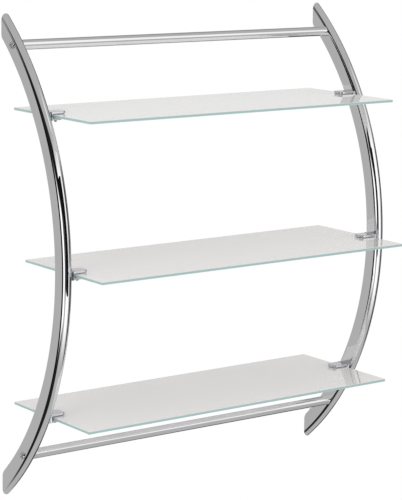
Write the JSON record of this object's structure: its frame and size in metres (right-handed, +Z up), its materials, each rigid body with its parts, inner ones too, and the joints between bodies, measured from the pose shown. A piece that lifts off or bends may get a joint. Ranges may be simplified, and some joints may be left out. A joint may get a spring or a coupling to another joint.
{
  "type": "wall shelf rack with towel bars",
  "caption": "Wall rack with bowed chrome uprights, satin glass shelves held in pinch clips, and round towel bars above and below.",
  "frame": {"origin": "on the wall plane, at the centre of the four wall screw holes", "axes": "+Z up, +X to the right for a person facing the wall, +Y into the wall; the rack is on the -Y side"},
  "size_m": [0.5956, 0.232, 0.7108],
  "materials": {
    "chrome": "bright polished chrome plate on steel tube and cast clips",
    "satin_glass": "toughened glass, satin underside and glossy top, ground edges that look pale green",
    "stainless": "stainless steel screws, lightly polished",
    "dark_steel": "black oxide grub screws",
    "brass": "turned brass",
    "zinc_plate": "zinc-plated steel, dull",
    "soft_pad": "thin grey translucent elastomer",
    "nylon": "natural nylon"
  },
  "bodies": {
    "frame": {"left_upright": "chrome", "right_upright": "chrome", "top_bar": "chrome", "top_left_bar_plug": "brass", "top_left_bar_screw": "stainless", "top_left_wall_bracket": "zinc_plate", "top_left_grub_screw": "dark_steel", "top_right_bar_plug": "brass", "top_right_bar_screw": "stainless", "top_right_wall_bracket": "zinc_plate", "top_right_grub_screw": "dark_steel", "bottom_bar": "chrome", "bottom_left_bar_plug": "brass", "bottom_left_bar_screw": "stainless", "bottom_left_wall_bracket": "zinc_plate", "bottom_left_grub_screw": "dark_steel", "bottom_right_bar_plug": "brass", "bottom_right_bar_screw": "stainless", "bottom_right_wall_bracket": "zinc_plate", "bottom_right_grub_screw": "dark_steel", "upper_left_clip": "chrome", "upper_left_clip_screw": "stainless", "upper_left_pad": "soft_pad", "upper_right_clip": "chrome", "upper_right_clip_screw": "stainless", "upper_right_pad": "soft_pad", "middle_left_clip": "chrome", "middle_left_clip_screw": "stainless", "middle_left_pad": "soft_pad", "middle_right_clip": "chrome", "middle_right_clip_screw": "stainless", "middle_right_pad": "soft_pad", "lower_left_clip": "chrome", "lower_left_clip_screw": "stainless", "lower_left_pad": "soft_pad", "lower_right_clip": "chrome", "lower_right_clip_screw": "stainless", "lower_right_pad": "soft_pad"},
    "upper_shelf": {"upper_shelf": "satin_glass"},
    "middle_shelf": {"middle_shelf": "satin_glass"},
    "lower_shelf": {"lower_shelf": "satin_glass"},
    "upper_left_pinch": {"upper_left_pinch_screw": "stainless", "upper_left_pinch_tip": "nylon"},
    "upper_right_pinch": {"upper_right_pinch_screw": "stainless", "upper_right_pinch_tip": "nylon"},
    "middle_left_pinch": {"middle_left_pinch_screw": "stainless", "middle_left_pinch_tip": "nylon"},
    "middle_right_pinch": {"middle_right_pinch_screw": "stainless", "middle_right_pinch_tip": "nylon"},
    "lower_left_pinch": {"lower_left_pinch_screw": "stainless", "lower_left_pinch_tip": "nylon"},
    "lower_right_pinch": {"lower_right_pinch_screw": "stainless", "lower_right_pinch_tip": "nylon"}
  },
  "joints": [
    {"name": "upper_shelf_slide", "type": "slide", "parent": "frame", "child": "upper_shelf", "axis": [0, -1, 0], "range_m": [0, 0.08]},
    {"name": "middle_shelf_slide", "type": "slide", "parent": "frame", "child": "middle_shelf", "axis": [0, -1, 0], "range_m": [-0.03, 0.08]},
    {"name": "lower_shelf_slide", "type": "slide", "parent": "frame", "child": "lower_shelf", "axis": [0, -1, 0], "range_m": [0, 0.08]},
    {"name": "upper_left_pinch_travel", "type": "slide", "parent": "frame", "child": "upper_left_pinch", "axis": [0, 0, -1], "range_m": [0, 0.0021]},
    {"name": "upper_right_pinch_travel", "type": "slide", "parent": "frame", "child": "upper_right_pinch", "axis": [0, 0, -1], "range_m": [0, 0.0021]},
    {"name": "middle_left_pinch_travel", "type": "slide", "parent": "frame", "child": "middle_left_pinch", "axis": [0, 0, -1], "range_m": [0, 0.0021]},
    {"name": "middle_right_pinch_travel", "type": "slide", "parent": "frame", "child": "middle_right_pinch", "axis": [0, 0, -1], "range_m": [0, 0.0021]},
    {"name": "lower_left_pinch_travel", "type": "slide", "parent": "frame", "child": "lower_left_pinch", "axis": [0, 0, -1], "range_m": [0, 0.0021]},
    {"name": "lower_right_pinch_travel", "type": "slide", "parent": "frame", "child": "lower_right_pinch", "axis": [0, 0, -1], "range_m": [0, 0.0021]}
  ]
}
